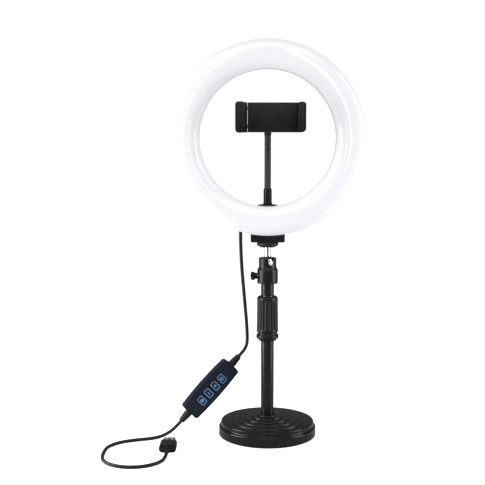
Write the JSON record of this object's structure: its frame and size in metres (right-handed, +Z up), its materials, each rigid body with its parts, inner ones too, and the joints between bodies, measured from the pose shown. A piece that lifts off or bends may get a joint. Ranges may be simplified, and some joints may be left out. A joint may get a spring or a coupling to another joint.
{
  "type": "ring light",
  "caption": "Desk ring light on a weighted round base: twist-lock pole, ball head, opal ring lamp, gooseneck phone clamp, inline controller and USB-A cord.",
  "frame": {"origin": "centre of the weighted base's underside, where the stand rests on the table", "axes": "+Z up along the pole, -Y the way the lamp faces, +X to the right seen from the front"},
  "size_m": [0.2637, 0.1608, 0.41],
  "materials": {
    "black_plastic": "satin moulded ABS",
    "gloss_black": "glossy black",
    "painted_black": "satin black paint",
    "opal": "glossy opal diffuser",
    "chrome": "bright plated",
    "steel": "zinc plated",
    "iron": "rough cast",
    "brass": "turned",
    "rubber": "matt",
    "nylon": "natural nylon",
    "board": "white solder mask",
    "green_board": "green solder mask",
    "led_cool": "clear phosphor",
    "led_warm": "amber phosphor",
    "navy": "satin navy black",
    "button": "dark keys with pale outlines"
  },
  "bodies": {
    "stand": {"base_shell": "gloss_black", "base_weight": "iron", "base_plate": "steel", "foot_pad": "rubber", "tube_foot": "nylon", "pole_screw": "steel", "outer_tube": "painted_black", "lower_collar": "black_plastic", "collet": "nylon"},
    "sleeve": {"twist_sleeve": "black_plastic"},
    "slider": {"tube_end_bush": "nylon"},
    "post": {"inner_tube": "chrome", "tube_cap": "black_plastic", "ball_head_body": "black_plastic", "brake_plunger": "brass"},
    "knob": {"lock_knob": "black_plastic", "lock_screw": "steel"},
    "seat": {"ball_seat": "nylon", "controller_front": "navy", "controller_back": "navy", "controller_board": "green_board", "relief_top": "rubber", "relief_bottom": "rubber", "cord_upper": "rubber", "cord_lower": "rubber", "plug_overmold": "rubber", "plug_shell": "steel", "plug_tongue": "nylon"},
    "button_1": {"button_1": "button"},
    "button_2": {"button_2": "button"},
    "button_3": {"button_3": "button"},
    "button_4": {"button_4": "button"},
    "light_head": {"ball_stud": "chrome", "mount_block": "black_plastic", "tripod_insert": "brass", "block_screws": "steel", "rear_housing": "gloss_black", "front_diffuser": "opal", "led_board": "board", "cool_leds": "led_cool", "warm_leds": "led_warm", "housing_screws": "steel", "cord_gland": "rubber", "arm_insert": "brass"},
    "wheel": {"lock_wheel": "black_plastic"},
    "arm": {"arm_flange": "black_plastic", "lower_ferrule": "gloss_black"},
    "neck_1": {"gooseneck_1": "painted_black"},
    "neck_2": {"gooseneck_2": "painted_black"},
    "neck_3": {"gooseneck_3": "painted_black"},
    "neck_top": {"upper_ferrule": "gloss_black"},
    "liner": {"socket_liner": "nylon"},
    "clamp": {"clamp_body": "black_plastic", "clamp_cover": "black_plastic", "fixed_pad": "rubber", "jaw_spring": "steel"},
    "nut": {"socket_nut": "black_plastic"},
    "jaw": {"clamp_jaw": "black_plastic", "jaw_pad": "rubber", "guide_rods": "steel"}
  },
  "joints": [
    {"name": "sleeve_turn", "type": "hinge", "parent": "stand", "child": "sleeve", "pos_m": [0, 0, 0.128], "axis": [0, 0, 1], "range_deg": [0, 180]},
    {"name": "pole_slide", "type": "slide", "parent": "stand", "child": "slider", "axis": [0, 0, 1], "range_m": [0, 0.08]},
    {"name": "post_turn", "type": "hinge", "parent": "slider", "child": "post", "pos_m": [0, 0, 0.09], "axis": [0, 0, 1], "continuous": true},
    {"name": "knob_turn", "type": "hinge", "parent": "post", "child": "knob", "pos_m": [0, 0, 0.168], "axis": [1, 0, 0], "range_deg": [-270, 0]},
    {"name": "ball_turn", "type": "hinge", "parent": "post", "child": "seat", "pos_m": [0, 0, 0.1822], "axis": [0, 0, 1], "continuous": true},
    {"name": "ball_tilt", "type": "hinge", "parent": "seat", "child": "light_head", "pos_m": [0, 0, 0.1822], "axis": [1, 0, 0], "range_deg": [-25, 25], "deforming": ["cord_upper"]},
    {"name": "wheel_turn", "type": "hinge", "parent": "light_head", "child": "wheel", "pos_m": [0, 0, 0.2], "axis": [0, 0, 1], "range_deg": [0, 180]},
    {"name": "arm_turn", "type": "hinge", "parent": "light_head", "child": "arm", "pos_m": [0, 0.004, 0.25], "axis": [0, 0, 1], "range_deg": [-180, 180]},
    {"name": "neck_bend_1", "type": "hinge", "parent": "arm", "child": "neck_1", "pos_m": [0, 0.004, 0.2585], "axis": [1, 0, 0], "range_deg": [-10, 10]},
    {"name": "neck_bend_2", "type": "hinge", "parent": "neck_1", "child": "neck_2", "pos_m": [0, 0.004, 0.2765], "axis": [1, 0, 0], "range_deg": [-10, 10]},
    {"name": "neck_bend_3", "type": "hinge", "parent": "neck_2", "child": "neck_3", "pos_m": [0, 0.004, 0.2945], "axis": [1, 0, 0], "range_deg": [-10, 10]},
    {"name": "neck_bend_4", "type": "hinge", "parent": "neck_3", "child": "neck_top", "pos_m": [0, 0.004, 0.3125], "axis": [1, 0, 0], "range_deg": [-10, 10]},
    {"name": "clamp_tilt", "type": "hinge", "parent": "neck_top", "child": "liner", "pos_m": [0, -0.01, 0.3299], "axis": [1, 0, 0], "range_deg": [-25, 25]},
    {"name": "clamp_turn", "type": "hinge", "parent": "liner", "child": "clamp", "pos_m": [0, -0.01, 0.3299], "axis": [0, 1, 0], "continuous": true},
    {"name": "nut_turn", "type": "hinge", "parent": "clamp", "child": "nut", "pos_m": [0, -0.01, 0.3299], "axis": [0, 1, 0], "range_deg": [0, 180]},
    {"name": "jaw_slide", "type": "slide", "parent": "clamp", "child": "jaw", "axis": [-1, 0, 0], "range_m": [0, 0.03], "stiffness_N_per_m": 150, "springref_m": -0.015, "deforming": ["jaw_spring"]},
    {"name": "button_1_press", "type": "slide", "parent": "seat", "child": "button_1", "axis": [-0.342, 0.9397, 0], "range_m": [0, 0.0005], "stiffness_N_per_m": 800, "springref_m": -0.0005},
    {"name": "button_2_press", "type": "slide", "parent": "seat", "child": "button_2", "axis": [-0.342, 0.9397, 0], "range_m": [0, 0.0005], "stiffness_N_per_m": 800, "springref_m": -0.0005},
    {"name": "button_3_press", "type": "slide", "parent": "seat", "child": "button_3", "axis": [-0.342, 0.9397, 0], "range_m": [0, 0.0005], "stiffness_N_per_m": 800, "springref_m": -0.0005},
    {"name": "button_4_press", "type": "slide", "parent": "seat", "child": "button_4", "axis": [-0.342, 0.9397, 0], "range_m": [0, 0.0005], "stiffness_N_per_m": 800, "springref_m": -0.0005}
  ],
  "couplings": [
    {"joint": "neck_bend_2", "follows": "neck_bend_1", "ratio": 1},
    {"joint": "neck_bend_3", "follows": "neck_bend_1", "ratio": 1},
    {"joint": "neck_bend_4", "follows": "neck_bend_1", "ratio": 1}
  ]
}
